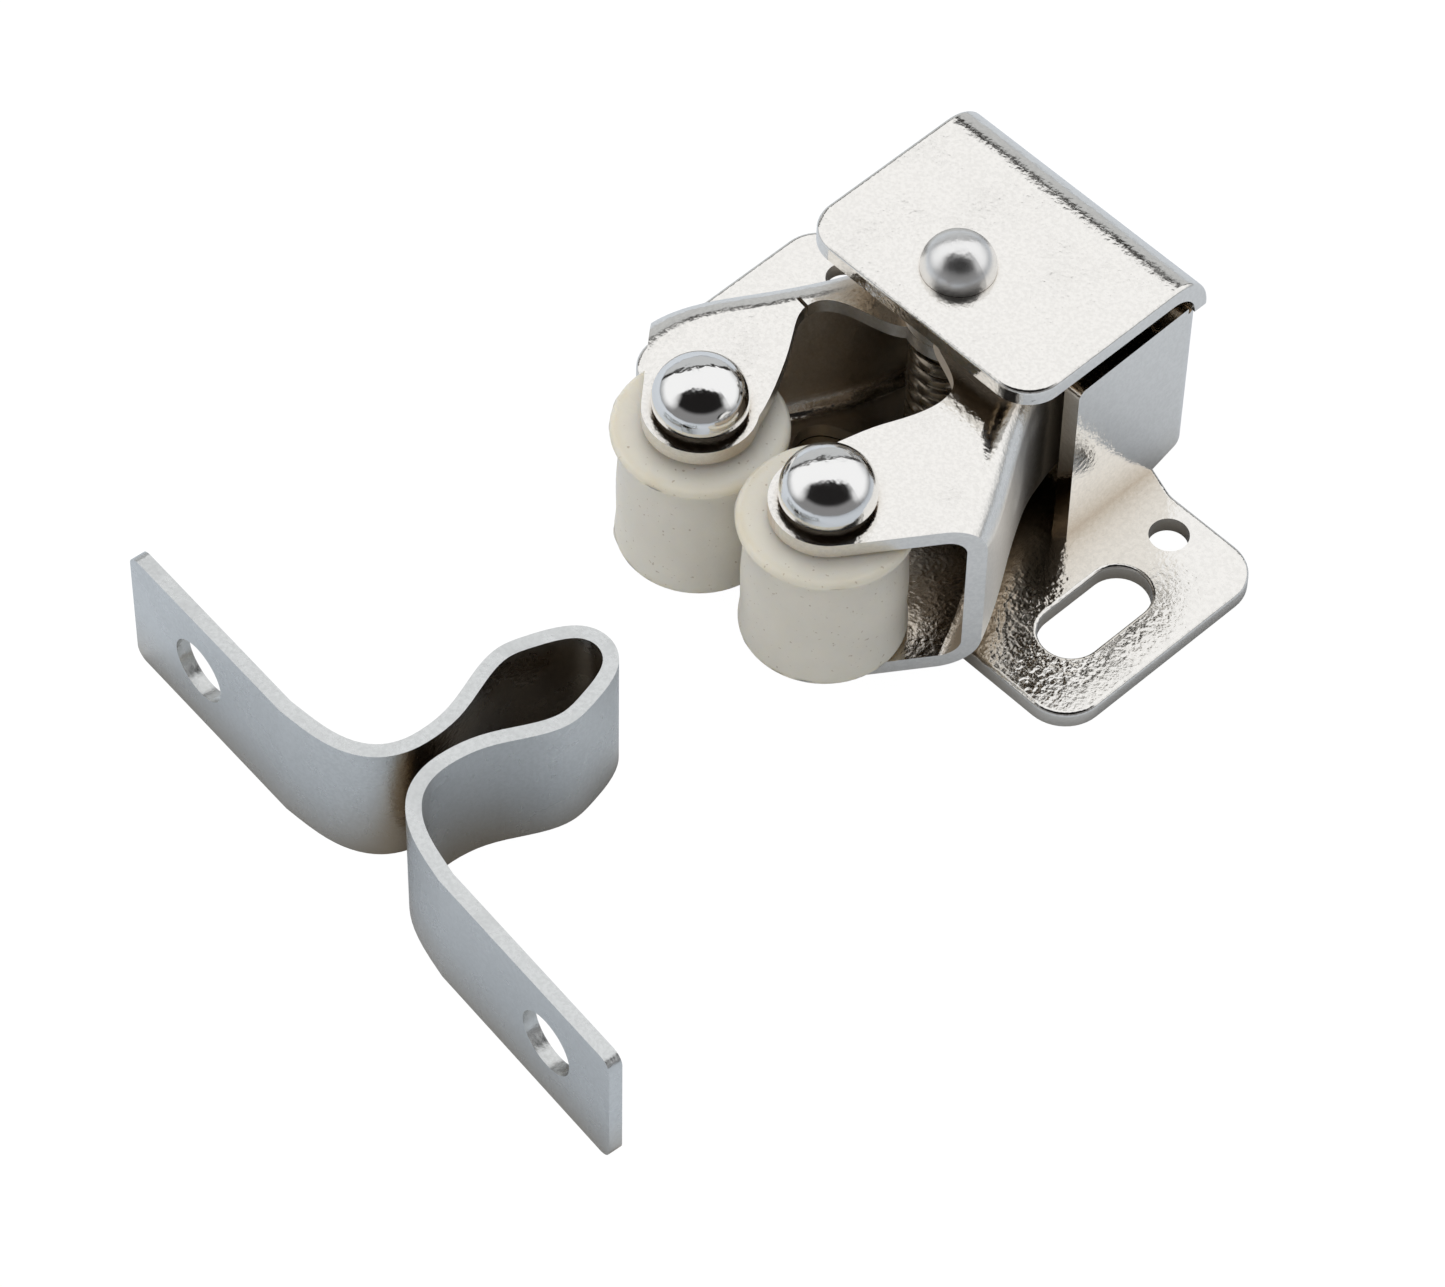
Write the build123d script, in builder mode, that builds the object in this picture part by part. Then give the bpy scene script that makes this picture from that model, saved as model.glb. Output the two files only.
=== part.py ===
from build123d import *
import os
from math import atan2, cos, degrees, hypot, pi, radians, sin, tan

os.makedirs("parts", exist_ok=True)

# Double roller catch: a folded steel housing with two sprung arms that each carry a
# nylon roller, and a folded spear strike that pushes in between the rollers.
# Millimetres.  x runs across the wings, y runs back from the rollers to the rear wall,
# z runs up from the mounting face.  The origin is the middle of the slot pair.

# Housing, one folded sheet
sheet = 1.0
wall_outer = 7.8
wing_reach = 8.7
wing_half = wall_outer + wing_reach
base_front = -6.5
base_rear = 8.4
wing_corner = 2.3
root_half = wall_outer
root_rear = 9.0
root_run = 1.8
root_flare = root_half + root_run
root_round = 2.0
wall_front = 2.5
rear_face = 11.5
wall_gap_front = 2.0
wall_gap_rear = 1.75
relief_start = 8.85
relief_rise = 0.95
corner_notch = 0.45
back_inset = 1.1
back_half_low = wall_outer - back_inset
corner_bend = 1.05
wall_round = 0.5
top_overhang = 0.35
top_half = wall_outer + top_overhang
top_front = -1.75
top_corner = 2.1
top_bend = 2.7
floor_bend = 1.3
floor_start = 5.0
edge_round = 0.25
slot_round = 0.2
overrun = 1.0

# Screw slots and locating holes in the wings
slot_inset = 4.25
slot_x = wing_half - slot_inset
slot_radius = 1.7
slot_run = 3.6
locator_radius = 1.08
locator_y = 6.4
right_locator_inset = 5.1
left_locator_inset = 4.0
right_locator_x = wing_half - right_locator_inset
left_locator_x = left_locator_inset - wing_half

# Pivot, shared by both arms
pivot_x = -0.6
pivot_y = 2.1
shank_radius = 1.3
running_gap = 0.06
seat_gap = 0.02
collar_radius = 2.1
collar_height = 1.43
pivot_head_radius = 1.98
pivot_head_rise = 1.85
pivot_head_rim = 0.15
spread_radius = 2.1
spread_depth = 0.8

# Rollers
roller_top_radius = 4.6
roller_waist = 4.25
roller_foot_radius = 4.33
roller_height = 8.6
roller_rim = 0.35
roller_flare = 1.3
roller_round = 0.3
roller_play = 0.55
left_roller_float = 0.1
right_roller_float = 0.3

# Arms, each one folded channel, stacked one sheet apart on the pivot
arm_sheet = 0.9
arm_height = roller_height + roller_play + 2 * arm_sheet
stack_gap = 0.05
left_low = sheet + stack_gap
right_low = left_low + arm_sheet + stack_gap
arm_bend = 1.9
eye_radius = 2.7
boss_radius = 3.0
nick_width = 0.22
nick_depth = 0.8
hollow_overrun = 2.5

# Heights that follow from the arms
collar_low = right_low + arm_height + stack_gap
collar_high = collar_low + collar_height
top_height = collar_high + seat_gap + sheet
wall_top_front = top_height - sheet - wall_gap_front
wall_top_rear = top_height - sheet - wall_gap_rear
back_step = top_height - top_bend

# Axle rivets
left_axle_reach = 4.36
right_axle_reach = 4.76
axle_y = -11.7
axle_radius = 1.6
neck_radius = 1.95
neck_height = 0.5
axle_head_radius = 2.5
axle_head_rise = 2.0
axle_head_rim = 0.35
tail_radius = 2.2
tail_thick = 0.6
bore_gap = 0.07

# Torsion spring around the pivot
wire = 0.9
coil_radius = 1.9
leg_splay = 35.0
full_turns = 6
coil_turns = full_turns + (180 - 2 * leg_splay) / 360
coil_pitch = 0.96
coil_lift = 0.65
leg_length = 3.1

# Strike, one folded strip standing on its edge
strike_x = -0.95
strike_y = -38.7
strike_turn = -5.2
strip = 0.8
strip_height = 8.2
left_reach = 19.0
right_reach = 20.0
left_screw_inset = 5.5
right_screw_inset = 5.0
left_screw = left_reach - left_screw_inset
right_screw = right_reach - right_screw_inset
screw_radius = 1.85
screw_z = 4.2
end_round = 0.7


def shifted(points, amount):
    """Points moved sideways by amount, to the left of the direction of travel."""
    moved = []
    last = len(points) - 1
    for i, point in enumerate(points):
        before = points[max(i - 1, 0)]
        after = points[min(i + 1, last)]
        dx = after[0] - before[0]
        dy = after[1] - before[1]
        size = hypot(dx, dy)
        moved.append((point[0] - dy / size * amount, point[1] + dx / size * amount))
    return moved


def extended(points, amount):
    """Points with one more at each end, amount further along the line."""
    ends = []
    for end, before in ((points[0], points[1]), (points[-1], points[-2])):
        dx = end[0] - before[0]
        dy = end[1] - before[1]
        size = hypot(dx, dy)
        ends.append((end[0] + dx / size * amount, end[1] + dy / size * amount))
    return [ends[0], *points, ends[1]]


def on_side(points, side):
    """Points given outwards from the pivot, set on the right (1) or left (-1) side."""
    return [(pivot_x + side * x, y) for x, y in points]


# Housing
with BuildPart() as housing:
    # Folded strip seen from the side: floor, rear wall, top plate
    with BuildSketch(Plane.YZ) as side_profile:
        with BuildLine():
            Polyline((floor_start, 0), (rear_face, 0), (rear_face, top_height), (top_front, top_height),
                     (top_front, top_height - sheet), (rear_face - sheet, top_height - sheet),
                     (rear_face - sheet, sheet), (floor_start, sheet), (floor_start, 0))
        make_face()
        fillet(side_profile.vertices().filter_by(
            lambda v: abs(v.X - rear_face) < 0.01 and v.Y > top_height / 2), top_bend)
        fillet(side_profile.vertices().filter_by(
            lambda v: abs(v.X - rear_face) < 0.01 and v.Y < sheet), floor_bend)
        fillet(side_profile.vertices().filter_by(
            lambda v: abs(v.X - rear_face + sheet) < 0.01 and v.Y > top_height / 2), top_bend - sheet)
        fillet(side_profile.vertices().filter_by(
            lambda v: abs(v.X - rear_face + sheet) < 0.01 and v.Y < 2 * sheet), floor_bend - sheet)
    extrude(amount=top_half, both=True)
    # Below the bend of the top plate the rear wall is narrower
    with BuildSketch(Plane.XZ.offset(-rear_face - overrun)):
        with Locations((back_half_low, 0)):
            Rectangle(top_half, 2 * back_step, align=(Align.MIN, Align.CENTER))
        with Locations((-back_half_low, 0)):
            Rectangle(top_half, 2 * back_step, align=(Align.MAX, Align.CENTER))
    extrude(amount=rear_face - floor_start + 2 * overrun, mode=Mode.SUBTRACT)
    # Rounded front corners of the top plate
    fillet(housing.edges().filter_by(Axis.Z).filter_by(
        lambda e: e.center().Y < top_front + 0.1 and e.center().Z > top_height - sheet), top_corner)
    # Rolled upper edge of the top plate
    fillet(housing.edges().filter_by(
        lambda e: abs(e.center().Z - top_height) < 0.001
        and e.center().Y < rear_face - top_bend - 0.1), edge_round)
housing_spine = housing.part

wall_rise = (wall_top_rear - wall_top_front) / (rear_face - corner_bend - wall_front)
with BuildPart() as wall_ring:
    with BuildSketch(Plane.XY.offset(sheet - 0.1)):
        with BuildLine():
            Polyline((-wall_outer, wall_front), (-wall_outer, rear_face), (wall_outer, rear_face),
                     (wall_outer, wall_front), (wall_outer - sheet, wall_front),
                     (wall_outer - sheet, rear_face - sheet), (sheet - wall_outer, rear_face - sheet),
                     (sheet - wall_outer, wall_front), (-wall_outer, wall_front))
        make_face()
    extrude(amount=back_step - sheet + 0.1)
    fillet(wall_ring.edges().filter_by(Axis.Z).filter_by(
        lambda e: abs(e.center().Y - rear_face) < 0.01), corner_bend)
    fillet(wall_ring.edges().filter_by(Axis.Z).filter_by(
        lambda e: abs(e.center().Y - rear_face + sheet) < 0.01), corner_bend - sheet)
    # Side walls rise a little towards the rear and are notched under the top plate's bend
    with BuildSketch(Plane.YZ):
        with BuildLine():
            Polyline((wall_front - overrun, wall_top_front - wall_rise * overrun),
                     (rear_face - corner_bend, wall_top_rear),
                     (rear_face - corner_bend, back_step - corner_notch),
                     (rear_face + overrun, back_step - corner_notch), (rear_face + overrun, top_height),
                     (wall_front - overrun, top_height),
                     (wall_front - overrun, wall_top_front - wall_rise * overrun))
        make_face()
    extrude(amount=wall_outer + overrun, both=True, mode=Mode.SUBTRACT)
    # Slanted relief at the foot of each rear corner
    with BuildSketch(Plane.YZ):
        with BuildLine():
            Polyline((relief_start, sheet), (rear_face + 0.5, sheet + relief_rise + 0.2),
                     (rear_face + 0.5, sheet - overrun), (relief_start, sheet - overrun),
                     (relief_start, sheet))
        make_face()
    extrude(amount=wall_outer + overrun, both=True, mode=Mode.SUBTRACT)
    # Front corners of the side walls are slightly rounded
    fillet(wall_ring.edges().filter_by(Axis.X).filter_by(
        lambda e: e.center().Y < wall_front + 0.1 and e.center().Z > back_step / 2), wall_round)

with BuildPart() as wings:
    # Floor with the two wings
    with BuildSketch() as floor_plan:
        with BuildLine():
            Polyline((-wing_half, base_front), (wing_half, base_front), (wing_half, base_rear),
                     (root_flare, base_rear), (root_half, root_rear), (-root_half, root_rear),
                     (-root_flare, base_rear), (-wing_half, base_rear), (-wing_half, base_front))
        make_face()
        fillet(floor_plan.vertices().filter_by(lambda v: abs(v.X) > wing_half - 0.1), wing_corner)
        fillet(floor_plan.vertices().filter_by(
            lambda v: abs(abs(v.X) - root_flare) < 0.01), root_round)
    extrude(amount=sheet)
    # Rolled upper edge of the wings
    fillet(wings.edges().filter_by(
        lambda e: abs(e.center().Z - sheet) < 0.001
        and (abs(e.center().X) > root_flare + 0.4 or e.length > wing_half)
        and e.center().Y < base_rear + 0.05), edge_round)
    # Screw slots running front to back, and the small locating holes
    with BuildSketch():
        with Locations((slot_x, 0), (-slot_x, 0)):
            SlotCenterToCenter(slot_run, 2 * slot_radius, rotation=90)
        with Locations((right_locator_x, locator_y), (left_locator_x, locator_y)):
            Circle(locator_radius)
    extrude(amount=sheet, mode=Mode.SUBTRACT)
    # Drawn-in upper edge of the slots
    fillet(wings.edges().filter_by(
        lambda e: abs(e.center().Z - sheet) < 0.001 and abs(e.center().Y) < slot_run
        and abs(abs(e.center().X) - slot_x) < slot_radius + 0.05), slot_round)

with BuildPart() as housing_full:
    add(housing_spine)
    add(wall_ring.part)
    add(wings.part)
    # Pivot hole through the floor, spread below, and through the top plate
    with BuildSketch():
        with Locations((pivot_x, pivot_y)):
            Circle(shank_radius + seat_gap)
    extrude(amount=top_height + overrun, mode=Mode.SUBTRACT)
    with BuildSketch():
        with Locations((pivot_x, pivot_y)):
            Circle(spread_radius + seat_gap)
    extrude(amount=spread_depth, taper=45, mode=Mode.SUBTRACT)
housing_full.part.label = "housing"
export_step(housing_full.part, "parts/housing.step")

# Plan lines of an arm, given outwards from the pivot plane
left_web = [(10.85, -8.9), (10.15, -6.6), (8.85, -4.3), (7.65, -2.3), (6.75, -0.6), (6.1, 0.9),
            (5.7, 2.4), (5.35, 4.0), (5.1, 5.2)]
right_web = [(11.55, -7.15), (10.8, -5.65), (9.75, -3.9), (8.65, -2.2), (7.6, -0.45), (6.9, 0.9),
             (6.4, 2.4), (6.0, 4.0), (5.75, 5.2)]
tail_line = [(4.2, 5.5), (2.2, 4.3), (0.6, 4.4), (0.2, 1.9)]
left_opening = [(1.75, -10.5), (2.25, -9.1), (3.05, -7.5), (4.05, -5.8), (4.95, -4.5), (5.45, -3.4),
                (5.25, -2.4), (4.4, -1.7), (2.6, -1.15), (0.9, -0.35)]
right_opening = [(2.05, -10.5), (2.65, -8.3), (3.15, -6.6), (3.65, -5.4), (4.05, -4.2), (4.2, -3.1),
                 (3.95, -2.1), (3.2, -1.5), (1.9, -0.95), (0.8, -0.35)]
nick_place = (5.75, -3.15)
nick_turn = -8.0

# Arms: a web with a flange above and below, the opening cut out of both flanges
for side, low, reach, web_line, opening, name in (
        (-1, left_low, left_axle_reach, left_web, left_opening, "left_arm"),
        (1, right_low, right_axle_reach, right_web, right_opening, "right_arm")):
    boss = (pivot_x + side * reach, axle_y)
    web = on_side(web_line, side)
    inner = on_side(opening, side)
    crown = low + arm_height
    # The front edge runs from the web's corner to touch the round boss
    away = atan2(web[0][1] - boss[1], web[0][0] - boss[0])
    span = hypot(web[0][0] - boss[0], web[0][1] - boss[1])
    swing = away - side * (pi / 2 - atan2(boss_radius, span))
    touch = (boss[0] + boss_radius * cos(swing), boss[1] + boss_radius * sin(swing))
    # Space between the flanges, with the inner radius of the two bends
    face = extended(shifted(web, side * arm_sheet), hollow_overrun)
    far_x = pivot_x - side * wing_half
    far_y = axle_y - 2 * boss_radius
    with BuildPart() as hollow:
        with BuildSketch(Plane.XY.offset(low + arm_sheet)):
            with BuildLine():
                Spline(*face)
                Polyline(face[-1], (far_x, face[-1][1]), (far_x, far_y), (face[0][0], far_y), face[0])
            make_face()
        extrude(amount=arm_height - 2 * arm_sheet)
        fillet(hollow.edges().filter_by(
            lambda e: e.geom_type == GeomType.BSPLINE and e.bounding_box().size.Z < 0.01),
            arm_bend - arm_sheet)
    with BuildPart() as arm:
        with BuildSketch(Plane.XY.offset(low)):
            with BuildLine():
                Spline(*web)
                Polyline(web[-1], *on_side(tail_line, side), inner[-1])
                Spline(*inner)
                Polyline(inner[0], boss, touch, web[0])
            make_face()
            with Locations(boss):
                Circle(boss_radius)
            with Locations((pivot_x, pivot_y)):
                Circle(eye_radius)
        extrude(amount=arm_height)
        long_rims = arm.edges().filter_by(
            lambda e: e.geom_type == GeomType.BSPLINE and e.bounding_box().size.Z < 0.01)
        fillet(long_rims.sort_by(Edge.length)[-2:], arm_bend)
        add(hollow.part, mode=Mode.SUBTRACT)
        with BuildSketch(Plane.XY.offset(low - overrun)):
            with Locations((pivot_x, pivot_y)):
                Circle(shank_radius + running_gap)
            with Locations(boss):
                Circle(axle_radius + seat_gap)
        extrude(amount=arm_height + 2 * overrun, mode=Mode.SUBTRACT)
        # The left arm has a small nick where its flange turns towards the pivot
        if name == "left_arm":
            with BuildSketch(Plane.XY.offset(crown - 1.2 * arm_sheet)):
                with Locations(on_side([nick_place], side)[0]):
                    Rectangle(nick_depth, nick_width, rotation=nick_turn)
            extrude(amount=2 * arm_sheet, mode=Mode.SUBTRACT)
    arm.part.label = name
    export_step(arm.part, "parts/" + name + ".step")

# Pivot rivet: spread foot flush with the floor, shank, collar over the arms, domed head
head_low = top_height + seat_gap
with BuildPart() as pivot_rivet:
    with BuildSketch(Plane.XZ.offset(-pivot_y)):
        with BuildLine():
            Polyline((pivot_x, 0), (pivot_x + spread_radius, 0),
                     (pivot_x + shank_radius, spread_depth), (pivot_x + shank_radius, collar_low),
                     (pivot_x + collar_radius, collar_low), (pivot_x + collar_radius, collar_high),
                     (pivot_x + shank_radius, collar_high), (pivot_x + shank_radius, head_low),
                     (pivot_x + pivot_head_radius, head_low),
                     (pivot_x + pivot_head_radius, head_low + pivot_head_rim))
            Spline((pivot_x + pivot_head_radius, head_low + pivot_head_rim),
                   (pivot_x, head_low + pivot_head_rim + pivot_head_rise),
                   tangents=((0, 1), (-1, 0)), tangent_scalars=(1.1, 1.1))
            Line((pivot_x, head_low + pivot_head_rim + pivot_head_rise), (pivot_x, 0))
        make_face()
    revolve(axis=Axis((pivot_x, pivot_y, 0), (0, 0, 1)))
pivot_rivet.part.label = "pivot_rivet"
export_step(pivot_rivet.part, "parts/pivot_rivet.step")

# Axle rivets: flat tail under the arm, shank, neck and domed head above the arm
for centre, low, name in ((pivot_x - left_axle_reach, left_low, "left_axle"),
                          (pivot_x + right_axle_reach, right_low, "right_axle")):
    top = low + arm_height
    head = top + neck_height
    with BuildPart() as axle:
        with BuildSketch(Plane.XZ.offset(-axle_y)):
            with BuildLine():
                Polyline((centre, low - tail_thick), (centre + tail_radius, low - tail_thick),
                         (centre + tail_radius, low), (centre + axle_radius, low),
                         (centre + axle_radius, top), (centre + neck_radius, top),
                         (centre + neck_radius, head), (centre + axle_head_radius, head),
                         (centre + axle_head_radius, head + axle_head_rim))
                Spline((centre + axle_head_radius, head + axle_head_rim),
                       (centre, head + axle_head_rim + axle_head_rise),
                       tangents=((0, 1), (-1, 0)), tangent_scalars=(1.1, 1.1))
                Line((centre, head + axle_head_rim + axle_head_rise), (centre, low - tail_thick))
            make_face()
        revolve(axis=Axis((centre, axle_y, 0), (0, 0, 1)))
        fillet(axle.edges().filter_by(GeomType.CIRCLE).filter_by(
            lambda e: abs(e.center().Z - (low - tail_thick)) < 0.01 and e.radius > 2), 0.3)
    axle.part.label = name
    export_step(axle.part, "parts/" + name + ".step")

# Rollers: plain nylon barrels with a flared rim, the wider one at the top
for centre, low, lift, name in (
        (pivot_x - left_axle_reach, left_low, left_roller_float, "left_roller"),
        (pivot_x + right_axle_reach, right_low, right_roller_float, "right_roller")):
    foot = low + arm_sheet + lift
    crown = foot + roller_height
    bore = axle_radius + bore_gap
    with BuildPart() as roller:
        with BuildSketch(Plane.XZ.offset(-axle_y)):
            with BuildLine():
                Polyline((centre + bore, foot), (centre + roller_foot_radius, foot),
                         (centre + roller_foot_radius, foot + roller_rim))
                Spline((centre + roller_foot_radius, foot + roller_rim),
                       (centre + roller_waist, foot + roller_flare),
                       (centre + roller_waist, foot + roller_height / 2),
                       (centre + roller_waist, crown - roller_flare),
                       (centre + roller_top_radius, crown - roller_rim))
                Polyline((centre + roller_top_radius, crown - roller_rim),
                         (centre + roller_top_radius, crown), (centre + bore, crown),
                         (centre + bore, foot))
            make_face()
        revolve(axis=Axis((centre, axle_y, 0), (0, 0, 1)))
        fillet(roller.edges().filter_by(GeomType.CIRCLE).filter_by(
            lambda e: e.radius > roller_waist and (abs(e.center().Z - foot) < 0.01
                                                   or abs(e.center().Z - crown) < 0.01)), roller_round)
    roller.part.label = name
    export_step(roller.part, "parts/" + name + ".step")

# Torsion spring: close coil round the pivot, one leg towards each arm's tail
coil_low = right_low + arm_sheet + coil_lift
coil_high = coil_low + coil_turns * coil_pitch
leg_x = -sin(radians(leg_splay))
leg_y = cos(radians(leg_splay))
pivot_line = Axis((pivot_x, pivot_y, 0), (0, 0, 1))
coil_from_right = Helix(pitch=coil_pitch, height=coil_turns * coil_pitch, radius=coil_radius,
                        center=(pivot_x, pivot_y, coil_low))
with BuildPart() as spring:
    with BuildLine() as coil_path:
        add(coil_from_right.rotate(pivot_line, 180 + leg_splay))
    with BuildSketch(Plane(origin=coil_path.line @ 0, z_dir=coil_path.line % 0)):
        Circle(wire / 2)
    sweep(path=coil_path.line, is_frenet=True)
    # Left leg from the lowest turn, right leg from the highest turn
    with BuildSketch(Plane(origin=coil_path.line @ 0, z_dir=(leg_x, leg_y, 0))):
        Circle(wire / 2)
    extrude(amount=leg_length)
    with BuildSketch(Plane(origin=coil_path.line @ 1, z_dir=(-leg_x, leg_y, 0))):
        Circle(wire / 2)
    extrude(amount=leg_length)
    # The wire stays round where coil and legs meet
    with Locations(coil_path.line @ 0, coil_path.line @ 1):
        Sphere(wire / 2)
spring.part.label = "spring"
export_step(spring.part, "parts/spring.step")

# Strike: outer face of the strip from the right end round the loop to the left end
half_loop = [(6.6, 0.93), (4.4, 1.3), (2.9, 1.85), (1.85, 2.75), (1.36, 3.9), (1.28, 5.0), (1.5, 6.6),
             (2.1, 8.2), (2.75, 9.8), (2.97, 11.1), (2.68, 12.6), (2.1, 14.2), (1.25, 15.3), (0, 15.71)]
outer_face = half_loop + [(-x, y) for x, y in reversed(half_loop[:-1])]
inner_face = shifted(outer_face, strip)
strike_plane = Plane(origin=(strike_x, strike_y, 0), x_dir=(cos(radians(strike_turn)),
                                                          sin(radians(strike_turn)), 0),
                     z_dir=(0, 0, 1))
with BuildPart() as strike:
    with BuildSketch(strike_plane):
        with BuildLine():
            Line((right_reach, strip), outer_face[0])
            Spline(*outer_face)
            Line(outer_face[-1], (-left_reach, strip))
            Line((-left_reach, strip), (-left_reach, 0))
            Line((-left_reach, 0), inner_face[-1])
            Spline(*inner_face)
            Line(inner_face[0], (right_reach, 0))
            Line((right_reach, 0), (right_reach, strip))
        make_face()
    extrude(amount=strip_height)
    ends = strike.edges().filter_by(lambda e: abs(e.length - strip) < 0.01)
    fillet(ends, end_round)
    with BuildSketch(Plane(origin=(strike_x, strike_y, 0), x_dir=strike_plane.x_dir,
                           z_dir=-strike_plane.y_dir)):
        with Locations((right_screw, screw_z), (-left_screw, screw_z)):
            Circle(screw_radius)
    extrude(amount=3, both=True, mode=Mode.SUBTRACT)
strike.part.label = "strike"
export_step(strike.part, "parts/strike.step")
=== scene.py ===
import math

import bpy
import numpy as np
from mathutils import Matrix, Vector


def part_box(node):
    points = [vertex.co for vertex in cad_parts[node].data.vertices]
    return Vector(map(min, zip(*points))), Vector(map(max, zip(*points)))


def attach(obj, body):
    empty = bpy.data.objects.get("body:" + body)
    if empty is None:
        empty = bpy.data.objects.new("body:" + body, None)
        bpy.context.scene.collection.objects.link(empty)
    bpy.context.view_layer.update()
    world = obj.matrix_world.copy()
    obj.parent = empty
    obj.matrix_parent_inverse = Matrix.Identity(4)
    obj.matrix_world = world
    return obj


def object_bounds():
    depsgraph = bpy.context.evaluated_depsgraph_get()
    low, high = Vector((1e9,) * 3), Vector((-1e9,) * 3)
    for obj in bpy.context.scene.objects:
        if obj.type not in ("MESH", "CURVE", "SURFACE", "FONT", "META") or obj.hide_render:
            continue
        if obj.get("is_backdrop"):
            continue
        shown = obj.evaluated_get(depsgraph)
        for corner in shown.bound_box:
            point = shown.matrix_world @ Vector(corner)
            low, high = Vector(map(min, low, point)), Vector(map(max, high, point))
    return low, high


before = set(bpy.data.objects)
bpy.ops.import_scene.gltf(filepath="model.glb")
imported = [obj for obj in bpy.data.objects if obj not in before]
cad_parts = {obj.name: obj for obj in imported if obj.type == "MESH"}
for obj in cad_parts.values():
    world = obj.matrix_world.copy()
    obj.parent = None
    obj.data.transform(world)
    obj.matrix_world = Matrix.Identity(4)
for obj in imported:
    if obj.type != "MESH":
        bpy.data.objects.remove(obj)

bl_info = {
    "name": "Double Roller Catch",
    "version": (1, 0, 0),
    "blender": (4, 5, 0),
    "location": "3D View > Sidebar > Catch",
    "description": "Finishes, moulding flash and studio for a plated double roller catch",
    "category": "Object",
}

# Lengths are in metres
MM = 0.001
WHITE = (1.0, 1.0, 1.0)

# Openness (1 in the open, towards 0 in a fold) at which each painted shade and the film start and are full
RECESS_SHADE_OPENNESS = (0.72, 0.34)
FILM_OPENNESS = (0.34, 0.20)
CAVITY_SHADE_OPENNESS = (0.19, 0.06)
GROOVE_OPENNESS = (0.50, 0.15)
# Rays that each look for openness takes
OPENNESS_SAMPLES = 8
# Share of the recess reach that counts in the groove under a rivet's head
GROOVE_REACH = 0.3
# How far a face leans out of its channel, below 0 inwards, where the film starts and is full
INWARD_LEAN = (-0.05, -0.45)
# How level a face is, 1 flat and 0 upright, where the upright faces' matt starts and is full
UPRIGHT_LEVEL = (0.75, 0.25)

# Roughness of each finish where it is clean and where it is smudged
HOUSING_ROUGHNESS = (0.09, 0.16)
ARM_ROUGHNESS = (0.11, 0.19)
STRIKE_ROUGHNESS = (0.25, 0.36)
# Roughness that a full scratch and a full film add
SCRATCH_ROUGHNESS = 0.03
FILM_ROUGHNESS = 0.30
# Node, radius of the domed head and roughness of each rivet
RIVETS = (("pivot_rivet", 1.98 * MM, (0.30, 0.38)), ("left_axle", 2.5 * MM, (0.09, 0.16)),
          ("right_axle", 2.5 * MM, (0.13, 0.20)))

# Plate: darkest shade of the grain, height of the swells and fineness of the coarse pebbles beside
# the fine ones, and share of the etched patch's radius inside which it is full
GRAIN_SHADE = 0.93
SWELL_SHARE = 1.6
COARSE_FINENESS = 0.75
ETCHED_CORE = 0.45
# Scratches: direction in radians and how much finer they are along each axis
SCRATCH_TURN = 0.9
SCRATCH_STRETCH = (1.0, 14.0, 3.0)
# Rivets: press marks start and are full at these shares of the head's radius from the crown
CROWN_SHARES = (0.75, 0.35)
DENTS_PER_METRE = 1500.0
DENT_DEPTH = 0.05 * MM
RIVET_MARKS_PER_METRE = 420.0
# Nylon: share of the rim band that is fully yellow, and the moulding's clouds, specks and grain
RIM_CORE = 0.2
CLOUD_SHADE = 1.06
CLOUDS_PER_METRE = 330.0
SPECKS_PER_METRE = 4200.0
NYLON_GRAINS_PER_METRE = 2200.0
NYLON_GRAIN_DEPTH = 0.012 * MM
FLOW_SHARE = 4.0
NYLON_SCATTER_SHARE = 0.75
NYLON_SCATTER_DEPTH = 2.2 * MM
NYLON_SCATTER_TINT = (1.0, 0.85, 0.6)
NYLON_ROUGHNESS = (0.38, 0.52)
NYLON_IOR = 1.52
# Wire: shade under the thickest oil, gloss from dry to oily, and its drawing lines
OIL_SHADE = 0.6
WIRE_ROUGHNESS = (0.22, 0.40)
WIRE_MARKS_PER_METRE = 900.0
DRAWING_DEPTH = 0.004 * MM
# Flash rings: points round the roller and round the bead, finest waves of reach and bulk, and the
# share of its thickness by which the bead sinks into the rim
RING_STEPS = 240
BEAD_STEPS = 12
PROUD_WAVES = 23
BULK_WAVES = 17
FLASH_SUNK = 0.75

# Floor: half its side and its drop below the lowest piece; the paper's level just saturates to white
FLOOR_HALF = 1.5
FLOOR_DROP = 0.02 * MM
PAPER_LEVEL = 1.04
# Lamps: place from the middle of the set, and side of the square
KEY_PLACE = Vector((-0.20, 0.10, 0.30))
KEY_SIZE = 0.30
FILL_PLACE = Vector((-0.10, -0.30, 0.20))
FILL_SIZE = 0.25
# Camera: width of its sensor in millimetres, and the nearest and farthest that it sees
SENSOR_WIDTH = 36.0
CAMERA_CLIP = (0.01, 10.0)
# Mirrored studio: colours, and where each mark starts and is full, as the upward share of a direction
# or as its share towards the mark
SKY_TINT = (0.98, 1.0, 1.03)
TENT_GREY = (0.34, 0.355, 0.37)
TENT_WHITE = (1.0, 1.01, 1.03)
TENT_RISE = (-0.05, 0.34)
PANEL_GREY = (0.56, 0.575, 0.59)
PANEL_TURN = 0.13
PANEL_RISE = -0.08
PANEL_EDGE = (0.75, 0.80)
GAP_DARK = (0.02, 0.018, 0.016)
GAP_OUTSIDE = (0.690, 0.715)
GAP_INSIDE = (0.805, 0.775)
WINDOW_GREY = (0.24, 0.24, 0.245)
WINDOW_DARK = (0.012, 0.011, 0.011)
WINDOW_FRONT = (0.04, 0.18)
WINDOW_SIDE = (1.10, 0.94)
WINDOW_TAPER = 0.45
WINDOW_FOOT = (-0.12, 0.02)
WINDOW_DUSK = (0.40, 0.60)


# Sizes and colours that a user would change

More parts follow.
